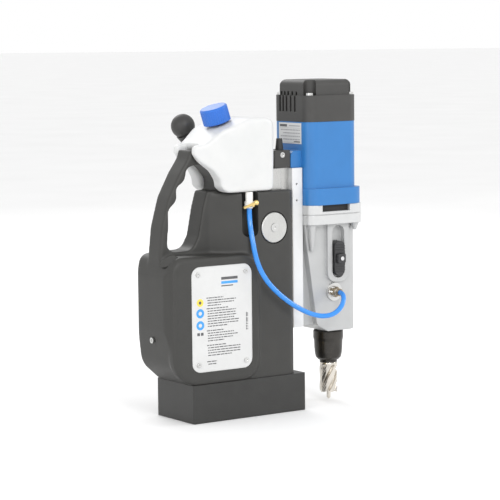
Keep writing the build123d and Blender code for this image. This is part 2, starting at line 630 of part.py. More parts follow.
def coolant():
    plan = mirrored([(-72, 21, 4), (-18, 38, 25), (44, 38, 14)])
    outer = side_solid(TANK_SIDE, 60) & plan_solid(plan, 250, 370)
    saddle = side_solid(SADDLE, HANDLE_HALF_W + 0.3)
    wall = 2.6
    inner = block(-10.8, 40 - wall, wall - 38, 38 - wall, BODY_TOP + wall, TANK_TOP - 1.4 * wall)
    inner = fillet(inner.edges().filter_by(Axis.Z), 9)
    wedge = make_face(Polyline((-11, 297), (-11, 342), (-28, 334), (-46, 321.5), (-36, 313), close=True))
    inner += extrude(Plane.XZ * wedge, 22, both=True)
    neck_at = Location((-15.7, 0, 346.4), (0, -CAP_TILT, 0))
    neck = neck_at * Location((0, 0, -2)) * Cylinder(12, 14)
    throat = neck_at * Location((0, 0, -2)) * Cylinder(9.5, 24)
    tank = (outer - saddle - inner + (neck - inner)) - throat
    tank -= rod_z(VALVE_X, VALVE_Y, 2, BODY_TOP - 1, BODY_TOP + 5)
    save("coolant_tank", tank)
    crown = Cylinder(16.5, 19)
    crown = chamfer(crown.edges().sort_by(Axis.Z)[-1], 1.5)
    cap = neck_at * Location((0, 0, 10.9)) * crown
    cap -= neck_at * Location((0, 0, 3.2)) * Cylinder(12.4, 10)
    for k in range(CAP_RIBS):
        rib = neck_at * Location((0, 0, 9.5), (0, 0, 360 * k / CAP_RIBS)) * Location((16.9, 0, 0))
        cap -= rib * Cylinder(0.9, 16)
    save("tank_cap", cap)
    x, y = VALVE_X, VALVE_Y
    valve = rod_z(x, y, 4.4, 255, BODY_TOP) + rod_z(x, y, 5.6, 248.4, 255) + rod_z(x, y, 4.2, 247, 249)
    save("valve_body", valve - rod_y(x, 251, 2.0 + RUN, y - 7, y + 2))
    lever = rod_y(x, 251, 2.0, y - 9, y + 1.5)
    bar = Location((x - 4.4, y - 8.2, 251), (0, 74, 0)) * Cylinder(1.7, 19)
    save("valve_lever", lever + bar + Location((x + 4.6, y - 8.2, 253.6)) * Sphere(3.2))


def hose():
    points = [Vector(*p) for p in HOSE_ROUTE]
    radii = []
    for before, at, after in zip(points, points[1:], points[2:]):
        turn = (at - before).get_angle(after - at)
        short = min((at - before).length, (after - at).length)
        radii.append(0.45 * short / math.tan(math.radians(turn / 2)))
    path = FilletPolyline(*points, radius=radii)
    section = Plane(origin=path @ 0, z_dir=path % 0) * Circle(HOSE_D / 2)
    tube = sweep(section, path=path)
    print("hose radii", [round(r, 1) for r in radii])
    expected = math.pi * (HOSE_D / 2) ** 2 * path.length
    print("hose length", round(path.length, 1))
    print("hose volume", round(tube.volume), "section x length", round(expected))
    save("coolant_hose", tube)


magnet_base()
stand_housing()
stand_fittings()
controls()
slide()
feed()
motor()
gearbox()
tool()
coolant()
hose()
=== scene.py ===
import json
import math
import random

import bmesh
import bpy
from mathutils import Matrix, Vector


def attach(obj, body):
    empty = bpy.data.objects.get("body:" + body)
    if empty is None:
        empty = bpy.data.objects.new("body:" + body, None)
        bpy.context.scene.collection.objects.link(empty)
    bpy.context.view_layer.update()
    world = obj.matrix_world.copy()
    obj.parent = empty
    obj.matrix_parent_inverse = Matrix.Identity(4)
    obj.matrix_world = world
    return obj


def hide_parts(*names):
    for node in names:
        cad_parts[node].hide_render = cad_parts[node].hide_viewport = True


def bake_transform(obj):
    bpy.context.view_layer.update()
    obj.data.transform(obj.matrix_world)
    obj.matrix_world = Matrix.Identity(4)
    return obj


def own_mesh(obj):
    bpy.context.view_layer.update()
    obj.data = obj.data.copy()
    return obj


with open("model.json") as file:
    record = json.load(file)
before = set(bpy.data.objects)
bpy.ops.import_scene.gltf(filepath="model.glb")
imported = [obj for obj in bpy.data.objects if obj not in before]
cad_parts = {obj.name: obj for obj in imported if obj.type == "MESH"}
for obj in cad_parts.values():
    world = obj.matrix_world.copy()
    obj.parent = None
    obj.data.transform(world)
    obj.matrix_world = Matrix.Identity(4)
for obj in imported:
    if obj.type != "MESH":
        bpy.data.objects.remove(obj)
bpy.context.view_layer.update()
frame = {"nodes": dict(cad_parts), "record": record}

MM = 0.001
PRINT_SEED = 7
rng = random.Random(PRINT_SEED)

# ---------------------------------------------------------------- camera
CAMERA_YAW = math.radians(34.31)
CAMERA_PITCH = math.radians(5.98)
CAMERA_ROLL = math.asin(-0.01094)
CAMERA_TARGET = Vector((0.0285, 0.0, 0.1933))
CAMERA_DISTANCE = 2.493
CAMERA_LENS = 150.0

forward = Vector((
    math.sin(CAMERA_YAW) * math.cos(CAMERA_PITCH),
    math.cos(CAMERA_YAW) * math.cos(CAMERA_PITCH),
    -math.sin(CAMERA_PITCH),
))
right = Vector((math.cos(CAMERA_YAW), -math.sin(CAMERA_YAW), 0.0))
up = right.cross(forward)
axis_x = right * math.cos(CAMERA_ROLL) + up * math.sin(CAMERA_ROLL)
axis_y = up * math.cos(CAMERA_ROLL) - right * math.sin(CAMERA_ROLL)
camera = bpy.data.objects.new("camera", bpy.data.cameras.new("camera"))
bpy.context.scene.collection.objects.link(camera)
turn = Matrix((axis_x, axis_y, -forward)).transposed().to_4x4()
camera.matrix_world = Matrix.Translation(CAMERA_TARGET - forward * CAMERA_DISTANCE) @ turn
camera.data.lens = CAMERA_LENS
camera.data.clip_start = 0.05
camera.data.clip_end = 50.0
bpy.context.scene.camera = camera


# ---------------------------------------------------------------- materials
NOISE_SPAN = (0.3, 0.7)
PLASTIC_IOR = 1.5
COAT_ROUGHNESS = 0.15


class Nodes:
    """Short helper for building one material's node tree."""

    def __init__(self, name):
        self.material = bpy.data.materials.new(name)
        self.material.use_nodes = True
        self.tree = self.material.node_tree
        self.shader = self.tree.nodes["Principled BSDF"]
        self.coords = self.tree.nodes.new("ShaderNodeTexCoord").outputs["Object"]

    def add(self, kind, **values):
        node = self.tree.nodes.new(kind)
        for key, value in values.items():
            if key in node.inputs:
                node.inputs[key].default_value = value
            else:
                setattr(node, key, value)
        return node

    def link(self, output, socket):
        self.tree.links.new(output, socket)

    def noise(self, scale, detail=3.0, stretch=(1, 1, 1)):
        mapping = self.add("ShaderNodeMapping", Scale=stretch)
        self.link(self.coords, mapping.inputs["Vector"])
        node = self.add("ShaderNodeTexNoise", Scale=scale, Detail=detail)
        self.link(mapping.outputs["Vector"], node.inputs["Vector"])
        return node.outputs["Fac"]

    def mapped(self, value, low, high):
        """Spreads the middle of a noise value over low to high."""
        node = self.add("ShaderNodeMapRange")
        node.inputs["From Min"].default_value = NOISE_SPAN[0]
        node.inputs["From Max"].default_value = NOISE_SPAN[1]
        node.inputs["To Min"].default_value = low
        node.inputs["To Max"].default_value = high
        self.link(value, node.inputs["Value"])
        return node.outputs["Result"]

    def two_tone(self, value, dark, light):
        """Base colour that runs from dark to light with a value."""
        node = self.add("ShaderNodeMix", data_type="RGBA")
        node.inputs["A"].default_value = (*dark, 1)
        node.inputs["B"].default_value = (*light, 1)
        self.link(value, node.inputs["Factor"])
        self.link(node.outputs["Result"], self.shader.inputs["Base Color"])


def scaled(colour, k):
    return tuple(min(1.0, c * k) for c in colour)


def surface(name, colour, rough, metal=0.0, grain=900.0, depth=0.00002, mottle=0.08,
            blotch=60.0, edge=0.0006, coat=0.0, stretch=(1, 1, 1), spread=0.08):
    """A general surface: mottled colour, uneven roughness, fine grain and softened edges."""
    n = Nodes(name)
    cloud = n.noise(blotch, 4.0)
    n.two_tone(n.mapped(cloud, 0.0, 1.0), scaled(colour, 1 - mottle), scaled(colour, 1 + mottle))
    fine = n.noise(grain, 2.0, stretch)
    n.link(n.mapped(fine, rough - spread / 2, rough + spread / 2), n.shader.inputs["Roughness"])
    n.shader.inputs["Metallic"].default_value = metal
    n.shader.inputs["IOR"].default_value = PLASTIC_IOR
    n.shader.inputs["Coat Weight"].default_value = coat
    n.shader.inputs["Coat Roughness"].default_value = COAT_ROUGHNESS
    bump = n.add("ShaderNodeBump", Strength=0.6, Distance=depth)
    n.link(fine, bump.inputs["Height"])
    if edge:
        bevel = n.add("ShaderNodeBevel", samples=6)
        bevel.inputs["Radius"].default_value = edge
        n.link(bevel.outputs["Normal"], bump.inputs["Normal"])
    n.link(bump.outputs["Normal"], n.shader.inputs["Normal"])
    return n.material


STAND_GREY = (0.031, 0.0305, 0.028)
MOTOR_BLUE = (0.027, 0.165, 0.43)
SILVER = (0.46, 0.465, 0.465)

MATERIALS = {
    "stand_grey": surface("stand_grey", STAND_GREY, 0.52, grain=1700, depth=0.00006, mottle=0.06,
                          edge=0.0),
    "base_steel": surface("base_steel", (0.026, 0.0258, 0.0243), 0.46, grain=700, depth=0.00003,
                          mottle=0.1, edge=0.001),
    "copper": surface("copper", (0.72, 0.34, 0.16), 0.3, 1.0, grain=400, stretch=(1, 1, 12)),
    "resin": surface("resin", (0.02, 0.02, 0.022), 0.5, grain=500),
    "plate_white": surface("plate_white", (0.61, 0.612, 0.608), 0.34, 0.1, grain=500, mottle=0.02,
                           edge=0.0003),
    "zinc": surface("zinc", (0.62, 0.62, 0.61), 0.3, 1.0, grain=1400, mottle=0.06, edge=0.0004),
    "brass": surface("brass", (0.78, 0.58, 0.24), 0.26, 1.0, grain=900, stretch=(1, 1, 8), mottle=0.08),
    "black_plastic": surface("black_plastic", (0.040, 0.039, 0.037), 0.5, grain=1900, depth=0.00006,
                             mottle=0.06, edge=0.0009),
    "panel_black": surface("panel_black", (0.03, 0.03, 0.031), 0.48, grain=1200, depth=0.00004),
    "board_green": surface("board_green", (0.03, 0.22, 0.1), 0.35),
    "valve_white": surface("valve_white", (0.8, 0.79, 0.76), 0.32, mottle=0.03, edge=0.0004),
    "slide_steel": surface("slide_steel", (0.6, 0.6, 0.585), 0.3, 1.0, grain=260, stretch=(6, 6, 0.15),
                           depth=0.00001, mottle=0.05, blotch=30, edge=0.0005, spread=0.16),
    "gear_steel": surface("gear_steel", (0.5, 0.5, 0.49), 0.32, 1.0, mottle=0.06, edge=0.0003),
    "plate_alloy": surface("plate_alloy", (0.72, 0.725, 0.73), 0.38, 0.35, grain=900, mottle=0.02,
                           stretch=(1, 1, 0.2), edge=0.0006),
    "rubber": surface("rubber", (0.028, 0.028, 0.028), 0.62, grain=900, depth=0.00005),
    "motor_blue": surface("motor_blue", MOTOR_BLUE, 0.36, grain=1500, depth=0.000025, mottle=0.03,
                          edge=0.0012),
    "laminations": surface("laminations", (0.32, 0.32, 0.33), 0.5, 0.9, grain=700, stretch=(1, 1, 14)),
    "bearing_steel": surface("bearing_steel", (0.7, 0.7, 0.71), 0.18, 1.0, mottle=0.03),
    "cast_alloy": surface("cast_alloy", SILVER, 0.38, 0.35, grain=1300, depth=0.00004, mottle=0.03,
                          edge=0.0014),
    # A lighter copy of the silver alloy, used on the flange plate: painted light where the plate catches the
    # key light.
    "cast_alloy_painted_lit": surface("cast_alloy_painted_lit", (0.58, 0.585, 0.585), 0.36, 0.35, grain=1300,
                                depth=0.00004, mottle=0.03, edge=0.0014),
    "arbor_black": surface("arbor_black", (0.055, 0.052, 0.048), 0.33, 0.85, grain=800, mottle=0.15,
                           stretch=(1, 1, 9), edge=0.0006, spread=0.15),
    "cutter_steel": surface("cutter_steel", (0.66, 0.62, 0.56), 0.24, 1.0, grain=500, mottle=0.1,
                            stretch=(1, 1, 7), edge=0.0002, spread=0.14),
    "spring_steel": surface("spring_steel", (0.5, 0.5, 0.5), 0.3, 1.0, edge=0.0),
    "hub_black": surface("hub_black", (0.04, 0.04, 0.04), 0.38, 0.6, mottle=0.12, edge=0.0008),
    "lever_steel": surface("lever_steel", (0.7, 0.7, 0.7), 0.16, 1.0, grain=600, mottle=0.03, edge=0.0),
    "knob_black": surface("knob_black", (0.032, 0.031, 0.03), 0.5, grain=1400, depth=0.00003, mottle=0.03,
                          edge=0.0005),
    "selector_black": surface("selector_black", (0.03, 0.03, 0.032), 0.42, grain=1500, depth=0.00004,
                              edge=0.0008),
    "cap_blue": surface("cap_blue", (0.02, 0.14, 0.55), 0.34, grain=1200, depth=0.00003, mottle=0.04,
                        edge=0.0005),
    "switch_red": surface("switch_red", (0.55, 0.015, 0.012), 0.3, mottle=0.04, coat=0.2),
    "button_green": surface("button_green", (0.012, 0.36, 0.08), 0.3, mottle=0.04, coat=0.2),
    "hose_blue": surface("hose_blue", (0.025, 0.23, 0.70), 0.2, grain=500, mottle=0.04, edge=0.0, coat=0.3),
    "ink_dark": surface("ink_dark", (0.09, 0.09, 0.095), 0.45, edge=0.0),
    "ink_grey": surface("ink_grey", (0.34, 0.34, 0.35), 0.45, edge=0.0),
    "ink_blue_pale": surface("ink_blue_pale", (0.05, 0.30, 0.70), 0.4, edge=0.0),
    "ink_pale": surface("ink_pale", (0.6, 0.6, 0.6), 0.45, edge=0.0),
    "ink_amber": surface("ink_amber", (0.80, 0.62, 0.08), 0.4, edge=0.0),
    # Near-black for dark hollows: painted shade, not the colour of any part.
    "hollow_black": surface("hollow_black", (0.02, 0.019, 0.018), 0.7, edge=0.0),
    "nut_bronze": surface("nut_bronze", (0.30, 0.25, 0.18), 0.34, 1.0, mottle=0.12, edge=0.0003),
}


def tank_material():
    """Blow-moulded natural polyethylene: milky and slightly waxy, light scatters inside it."""
    n = Nodes("tank_plastic")
    cloud = n.noise(26.0, 3.0)
    n.two_tone(n.mapped(cloud, 0.0, 1.0), (0.585, 0.592, 0.59), (0.64, 0.643, 0.638))
    fine = n.noise(420.0, 3.0)
    n.link(n.mapped(fine, 0.34, 0.44), n.shader.inputs["Roughness"])
    n.shader.inputs["Subsurface Weight"].default_value = 0.3
    n.shader.inputs["Subsurface Radius"].default_value = (0.012, 0.012, 0.013)
    n.shader.inputs["Subsurface Scale"].default_value = 1.0
    n.shader.inputs["IOR"].default_value = PLASTIC_IOR
    bump = n.add("ShaderNodeBump", Strength=0.5, Distance=0.00005)
    n.link(fine, bump.inputs["Height"])
    n.link(bump.outputs["Normal"], n.shader.inputs["Normal"])
    return n.material


MATERIALS["tank_plastic"] = tank_material()


def dress(obj, key):
    """One material on every slot of a piece."""
    if not obj.data.materials:
        obj.data.materials.append(MATERIALS[key])
    for i in range(len(obj.material_slots)):
        obj.material_slots[i].material = MATERIALS[key]


slot_of = {entry["node"]: entry["material_slot"] for entry in frame["record"]["subparts"]}
for node_name, node_object in frame["nodes"].items():
    dress(node_object, slot_of[node_name])
# The flange plate takes the lighter silver copy: painted light, not a different finish.
dress(frame["nodes"]["flange_plate"], "cast_alloy_painted_lit")


# ---------------------------------------------------------------- mesh helpers
def place_mesh(name, bm):
    """Turns a bmesh into an object in the scene and frees the bmesh."""
    mesh = bpy.data.meshes.new(name)
    bm.to_mesh(mesh)
    bm.free()
    obj = bpy.data.objects.new(name, mesh)
    bpy.context.scene.collection.objects.link(obj)
    return obj


def shade_smooth(obj):
    for poly in obj.data.polygons:
        poly.use_smooth = True


def circle(u, v, r, sides):
    return [(u + r * math.cos(2 * math.pi * k / sides), v + r * math.sin(2 * math.pi * k / sides))
            for k in range(sides)]


def rounded(points, steps=6):
    """A closed outline in mm, its corners given as (u, v, corner radius)."""
    out = []
    count = len(points)
    for i, (u, v, r) in enumerate(points):
        at = Vector((u, v))
        before = Vector(points[i - 1][:2]) - at
        after = Vector(points[(i + 1) % count][:2]) - at
        a, b = before.normalized(), after.normalized()
        half = math.acos(max(-1.0, min(1.0, a.dot(b)))) / 2
        if r <= 0 or half > math.radians(88):
            out.append(at)
            continue
        reach = min(r / math.tan(half), 0.49 * before.length, 0.49 * after.length)
        start, end = at + a * reach, at + b * reach
        for k in range(steps + 1):
            t = k / steps
            out.append(start * (1 - t) ** 2 + at * (2 * t * (1 - t)) + end * t ** 2)
    return out


def prism(name, outline, low, high, axis="Y", soft=0.0, segments=3):
    """An outline extruded along Y (side view) or Z (plan view), in mm; soft rounds its two rims."""
    bm = bmesh.new()
    rings = []
    for level in (low, high):
        if axis == "Y":
            ring = [bm.verts.new((p[0] * MM, level * MM, p[1] * MM)) for p in outline]
        else:
            ring = [bm.verts.new((p[0] * MM, p[1] * MM, level * MM)) for p in outline]
        rings.append(ring)
    caps = [bm.faces.new(rings[0]), bm.faces.new(list(reversed(rings[1])))]
    n = len(outline)
    for i in range(n):
        bm.faces.new((rings[0][i], rings[1][i], rings[1][(i + 1) % n], rings[0][(i + 1) % n]))
    bmesh.ops.recalc_face_normals(bm, faces=bm.faces)
    if soft:
        rims = list({e for cap in caps for e in cap.edges})
        bmesh.ops.bevel(bm, geom=rims, offset=soft * MM, segments=segments, profile=0.5,
                        affect="EDGES", clamp_overlap=True)
    return place_mesh(name, bm)


def tube_y(name, x, z, r, y0, y1, sides=64):
    return prism(name, circle(x, z, r, sides), y0, y1)


def box_mm(name, x0, x1, y0, y1, z0, z1):
    return prism(name, [(x0, z0), (x1, z0), (x1, z1), (x0, z1)], y0, y1)


def bake(obj):
    """Applies every modifier on a piece that is still being made."""
    graph = bpy.context.evaluated_depsgraph_get()
    mesh = bpy.data.meshes.new_from_object(obj.evaluated_get(graph))
    obj.modifiers.clear()
    obj.data = mesh


def combine(obj, other, operation):
    """Cuts, joins or intersects a piece with another, which is used up."""
    modifier = obj.modifiers.new("cut", "BOOLEAN")
    modifier.operation = operation
    modifier.solver = "EXACT"
    modifier.object = other
    bake(obj)
    bpy.data.objects.remove(other)


def melt(obj, voxel, rounds):
    """Fuses overlapping shells into one skin and softens it."""
    modifier = obj.modifiers.new("skin", "REMESH")
    modifier.mode = "VOXEL"
    modifier.voxel_size = voxel * MM
    modifier.adaptivity = 0.0
    smooth = obj.modifiers.new("soft", "SMOOTH")
    smooth.factor = 0.5
    smooth.iterations = rounds
    bake(obj)


def joined(name, pieces):
    """One mesh of several overlapping pieces, which are used up."""
    bm = bmesh.new()
    for piece in pieces:
        bm.from_mesh(piece.data)
        bpy.data.objects.remove(piece)
    return place_mesh(name, bm)


def mirrored(points):
    """A plan outline completed on the other side of the X axis."""
    return points + [(x, -y, r) for x, y, r in reversed(points)]


def finish_piece(obj, body, key, smooth_angle=None):
    """Material, shading and body of a piece; faces that meet above smooth_angle stay sharp."""
    dress(obj, key)
    shade_smooth(obj)
    if smooth_angle is not None:
        obj.data.set_sharp_from_angle(angle=math.radians(smooth_angle))
    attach(obj, body)


# ---------------------------------------------------------------- coolant hose
HOSE_ROUTE = [
    (5.2, -33.5, 247.0),
    (5.2, -33.5, 233.0),
    (2.2, -43.5, 211.0),
    (4.2, -49.5, 184.0),
    (15.5, -52.0, 162.0),
    (35.0, -53.0, 143.0),
    (58.5, -54.5, 126.5),
    (84.0, -56.5, 115.0),
    (103.0, -59.0, 113.5),
    (117.0, -58.5, 119.0),
    (127.0, -55.0, 128.5),
    (131.0, -48.5, 138.0),
    (131.0, -39.0, 138.0),
]
HOSE_RADIUS = 0.003


def route_line(points, resolution=10):
    """Points along the smooth line of a route given in mm."""
    curve = bpy.data.curves.new("route", "CURVE")
    curve.dimensions = "3D"
    curve.resolution_u = resolution
    spline = curve.splines.new("NURBS")
    spline.points.add(len(points) - 1)
    for point, place in zip(spline.points, points):
        point.co = (*(c * MM for c in place), 1.0)
    spline.order_u = 3
    spline.use_endpoint_u = True
    obj = bpy.data.objects.new("route", curve)
    bpy.context.scene.collection.objects.link(obj)
    graph = bpy.context.evaluated_depsgraph_get()
    mesh = bpy.data.meshes.new_from_object(obj.evaluated_get(graph))
    line = [v.co.copy() for v in mesh.vertices]
    bpy.data.objects.remove(obj)
    return line


def sweep_tube(name, line, radius, sides=20):
    """A round tube along a line of points, its ends closed."""
    bm = bmesh.new()
    side = Vector((1, 0, 0))
    rings = []
    for i, at in enumerate(line):
        along = (line[min(i + 1, len(line) - 1)] - line[max(i - 1, 0)]).normalized()
        side = (side - along * side.dot(along)).normalized()
        other = along.cross(side)
        ring = []
        for k in range(sides):
            a = 2 * math.pi * k / sides
            ring.append(bm.verts.new(at + radius * (side * math.cos(a) + other * math.sin(a))))
        rings.append(ring)
    for r0, r1 in zip(rings, rings[1:]):
        for k in range(sides):
            bm.faces.new((r0[k], r0[(k + 1) % sides], r1[(k + 1) % sides], r1[k]))
    bm.faces.new(list(reversed(rings[0])))
    bm.faces.new(rings[-1])
    bmesh.ops.recalc_face_normals(bm, faces=bm.faces)
    return place_mesh(name, bm)


hose_line = route_line(HOSE_ROUTE)
hose = sweep_tube("hose", hose_line, HOSE_RADIUS)
dress(hose, "hose_blue")
shade_smooth(hose)
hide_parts("coolant_hose")
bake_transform(hose)


# ---------------------------------------------------------------- stand housing
WINDOW = [
    (-55, 300, 12), (-68.5, 296.5, 12), (-71.0, 281.0, 14), (-83.5, 274.5, 12), (-82.0, 258.5, 14),
    (-94.4, 249.5, 12), (-94.2, 230, 20), (-96.6, 206, 10), (-89, 199.5, 12), (-62, 200, 16),
    (-53, 216, 14), (-46, 250, 20), (-40.5, 268, 2.5), (-28.5, 268, 2), (-27, 281, 14), (-42, 298, 16),
]
HANDLE = [
    (-108, 150, 4), (-106.5, 196, 12), (-103, 228, 24), (-93, 263, 24), (-78, 290, 24),
    (-66, 307, 12), (-62.5, 317, 1.5), (-57, 316, 1.5), (-38, 304, 12), (-20, 288, 10),
    (-14, 270, 6), (-14, 190, 2), (-50, 150, 2),
]
REAR_LOBE = [
    (70, 30, 1), (70, 190, 1), (20, 192, 1), (-103, 196, 22), (-111.3, 172, 14),
    (-111.3, 110, 30), (-103.5, 66, 30), (-80, 45, 14), (-58, 30, 1),
]
BODY_PLAN = [(-112, 38, 16), (62, 38, 9), (70, 30, 4)]
WAIST = [(-57, 13, 3), (-38, 14, 12), (3, 38, 18), (62, 38, 9), (70, 30, 4)]
PAD = [(-107, 46, 36), (14, 46, 26), (14, 194, 24), (-107, 193, 18)]
PLATE = [(-82, 60, 12), (2.4, 60, 12), (2.4, 183.5, 12), (-82, 183.5, 12)]
PANEL = [(-97.6, 60.4, 8), (-0.4, 60.4, 8), (-0.4, 177.6, 8), (-97.6, 177.6, 8)]
GROOVE = [(-5, 213, 9.5), (15, 213, 9.5), (15, 290, 0), (-5, 290, 0)]
SHAFT = (37.5, 222.5)
STRAP_OUTWARD = (-0.52, -0.66, 0.54)
STRAP_ALONG = (0.72, -0.42, 0.552)
STRAP_PROBE_START = (-274.0, -276.7, 223.2)
STRAP_PROBE_RAY = (0.5606, 0.8215, -0.1042)
STRAP_OVAL = (12.2, 6.6)
RIM_ANGLE = 1.2


def strap_pocket(shell):
    """The oval pocket on the rear shoulder, label side: finishes its plug, returns its cutter."""
    bpy.context.view_layer.update()
    outward = Vector(STRAP_OUTWARD).normalized()
    start = Vector(STRAP_PROBE_START) * MM
    place = shell.ray_cast(start, Vector(STRAP_PROBE_RAY))[1] + outward * 1.5 * MM
    along = Vector(STRAP_ALONG)
    along = (along - outward * along.dot(outward)).normalized()
    turn = Matrix((along, outward.cross(along), outward)).transposed().to_4x4()
    pieces = []
    for name, grow, low, high in (("pocket", 0.0, -5.5, 24.0), ("strap_plug", -1.2, -7.0, -1.4)):
        bm = bmesh.new()
        bmesh.ops.create_cone(bm, cap_ends=True, segments=64, radius1=1.0, radius2=1.0, depth=1.0)
        half_long, half_short = ((half + grow) * MM for half in STRAP_OVAL)
        shape = Matrix.Diagonal((half_long, half_short, (high - low) * MM, 1.0))
        bm.transform(Matrix.Translation(place + outward * (low + high) / 2 * MM) @ turn @ shape)
        if name == "strap_plug":
            rims = [e for e in bm.edges if e.calc_face_angle(0) > RIM_ANGLE]
            bmesh.ops.bevel(bm, geom=rims, offset=0.8 * MM, segments=3, profile=0.5, affect="EDGES")
        pieces.append(place_mesh(name, bm))
    finish_piece(pieces[1], "stand", "stand_grey", 35)
    return pieces[0]


def stand_body():
    """Moulded housing: lobe, column, handle and pad fused, then the openings cut."""
    lobe = prism("lobe", rounded(REAR_LOBE), -38.3, 38.3, soft=7, segments=4)
    combine(lobe, prism("plan", rounded(mirrored(BODY_PLAN)), 20, 300, axis="Z"), "INTERSECT")
    column = prism("column", rounded(mirrored(WAIST)), 180, 266, axis="Z", soft=2, segments=2)
    handle = prism("handle", rounded(HANDLE, 8), -14.2, 14.2, soft=4.5, segments=2)
    pad = prism("pad", rounded(PAD, 8), -41.6, -28, soft=3.0, segments=3)
    shell = joined("stand_body", [lobe, column, handle, pad])
    melt(shell, 1.5, 5)
    combine(shell, prism("window", rounded(WINDOW, 8), -60, 60), "DIFFERENCE")
    melt(shell, 1.3, 6)
    cutters = [
        prism("groove", rounded(GROOVE, 8), -60, -24),
        tube_y("disc", *SHAFT, 19.4, -60, -35),
        tube_y("hub", *SHAFT, 10.0, 26.5, 60),
        prism("plate_recess", rounded(PLATE, 8), -60, -39.8),
        prism("panel_recess", rounded(PANEL, 8), 35.9, 60),
        box_mm("slide_channel", 43.9, 90, -26, 26, 20, 400),
        box_mm("base_plane", -130, 100, -60, 60, 0, 45.15),
        strap_pocket(shell),
    ]
    for cutter in cutters:
        combine(shell, cutter, "DIFFERENCE")
    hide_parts("stand_housing")
    finish_piece(shell, "stand", "stand_grey", 38)


stand_body()


# ---------------------------------------------------------------- coolant tank
TANK_SIDE = [
    (-64, 313, 5), (-57, 303.5, 9), (-41, 292, 10), (-33.5, 281, 8), (-33, 273, 6),
    (-25, 266.2, 6), (39.2, 266.2, 7), (43.4, 353.4, 19), (5, 352.6, 16), (-29, 339.8, 14),
    (-50, 324, 12), (-63.4, 321.5, 5),
]
SADDLE = [
    (-80, 250, 1), (-13.6, 250, 1), (-13.6, 292, 10), (-37, 309, 10), (-51, 318, 4), (-53, 345, 1),
    (-80, 345, 1),
]
TANK_PLAN = [(-72, 21, 6), (-18, 38.3, 32), (44.5, 38.3, 16)]


def coolant_tank():
    """Blown tank with a slot that straddles the handle's root."""
    tank = prism("coolant_shell", rounded(TANK_SIDE, 8), -38.3, 38.3, soft=8, segments=5)
    plan = prism("plan", rounded(mirrored(TANK_PLAN), 8), 200, 400, axis="Z")
    combine(tank, plan, "INTERSECT")
    combine(tank, prism("saddle", rounded(SADDLE, 8), -14.3, 14.3), "DIFFERENCE")
    melt(tank, 1.4, 24)
    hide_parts("coolant_tank")
    finish_piece(tank, "stand", "tank_plastic")


coolant_tank()


# ---------------------------------------------------------------- annular cutter
SPINDLE = (143.8, 0.0)
FLUTES = 6
FLUTE_PROFILE = [
    (0.00, 0.0), (0.10, 0.0), (0.13, 0.45), (0.30, 0.5), (0.50, 0.6), (0.57, 0.9), (0.66, 2.2),
    (0.76, 3.1), (0.86, 3.3), (0.93, 2.9), (0.955, 0.9), (0.97, 0.05),
]
CUTTER = {"r": 11.0, "bore": 7.4, "neck": 9.4, "low": 10.0, "high": 46.8, "web": 40.0, "top": 78.0}
FLUTE_FADE_START = 39.5
FLUTE_FADE_LENGTH = 5.0
FLUTE_LEVELS = 44
HELIX_TURN = math.radians(3.0)
PIN_CLEAR = 2.62
# Near-black ring round the cutter's neck: painted shade where the neck sits in shadow below the arbor.
NECK_SHADE_R = 10.7
NECK_SHADE_Z = (46.9, 50.3)


def annular_cutter():
    """Right-hand flutes round a tube, a toothed end, and a plain neck."""
    c = CUTTER
    bm = bmesh.new()
    angles = [(k + f) / FLUTES * 2 * math.pi for k in range(FLUTES) for f, _ in FLUTE_PROFILE]
    depths = [d for _ in range(FLUTES) for _, d in FLUTE_PROFILE]
    count = len(angles)

    def ring(radii, heights, twist):
        out = []
        for a, r, z in zip(angles, radii, heights):
            x = SPINDLE[0] + r * math.cos(a + twist)
            y = SPINDLE[1] + r * math.sin(a + twist)
            out.append(bm.verts.new((x * MM, y * MM, z * MM)))
        return out

    def rise(k):
        """How far one point of the toothed end stands back from the lowest point."""
        f = (k % len(FLUTE_PROFILE)) / len(FLUTE_PROFILE)
        return 1.6 * f + 0.5 * depths[k]

    rings = [ring([c["bore"]] * count, [c["web"]] * count, 0.0)]
    rings.append(ring([c["bore"]] * count, [c["low"] + 0.8 + rise(k) for k in range(count)], 0.0))
    for j in range(FLUTE_LEVELS + 1):
        t = j / FLUTE_LEVELS
        plain = c["low"] + t * (c["high"] - 1.2 - c["low"])
        fade = 1.0 - max(0.0, min(1.0, (plain - FLUTE_FADE_START) / FLUTE_FADE_LENGTH)) ** 2
        heights = [plain + rise(k) * max(0.0, 1 - t * 6) for k in range(count)]
        radii = [c["r"] - d * fade for d in depths]
        rings.append(ring(radii, heights, HELIX_TURN * (plain - c["low"])))
    last = HELIX_TURN * (c["high"] - c["low"])
    for r, z in [(c["r"] - 0.5, c["high"]), (c["neck"], c["high"]), (c["neck"], c["top"]),
                 (PIN_CLEAR, c["top"]), (PIN_CLEAR, c["web"])]:
        rings.append(ring([r] * count, [z] * count, last))
    rings.append(rings[0])
    for low, high in zip(rings, rings[1:]):
        for k in range(count):
            n = (k + 1) % count
            bm.faces.new((low[k], low[n], high[n], high[k]))
    bmesh.ops.recalc_face_normals(bm, faces=bm.faces)
    obj = place_mesh("cutter_flutes", bm)
    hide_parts("annular_cutter")
    finish_piece(obj, "spindle", "cutter_steel", 32)


annular_cutter()
# A dark ring at the cutter's neck, not a real part: painted shade in the gap below the arbor.
neck_shade_ring = prism("cutter_neck_shade_ring", circle(*SPINDLE, NECK_SHADE_R, 48), *NECK_SHADE_Z, axis="Z", soft=0.4)
finish_piece(neck_shade_ring, "spindle", "arbor_black", 40)


def ejector_spring():
    """A copy of the ejector spring in place of its CAD part, on the spindle body."""
    spring = bpy.data.objects.new("spring_coil", frame["nodes"]["ejector_spring"].data.copy())
    spring.matrix_world = frame["nodes"]["ejector_spring"].matrix_world.copy()
    bpy.context.scene.collection.objects.link(spring)
    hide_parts("ejector_spring")
    finish_piece(spring, "spindle", "spring_steel", 40)
    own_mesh(spring)


ejector_spring()


# ---------------------------------------------------------------- print on the plates
BOX_FACES = ((0, 1, 3, 2), (4, 6, 7, 5), (0, 4, 5, 1), (2, 3, 7, 6), (0, 2, 6, 4), (1, 5, 7, 3))


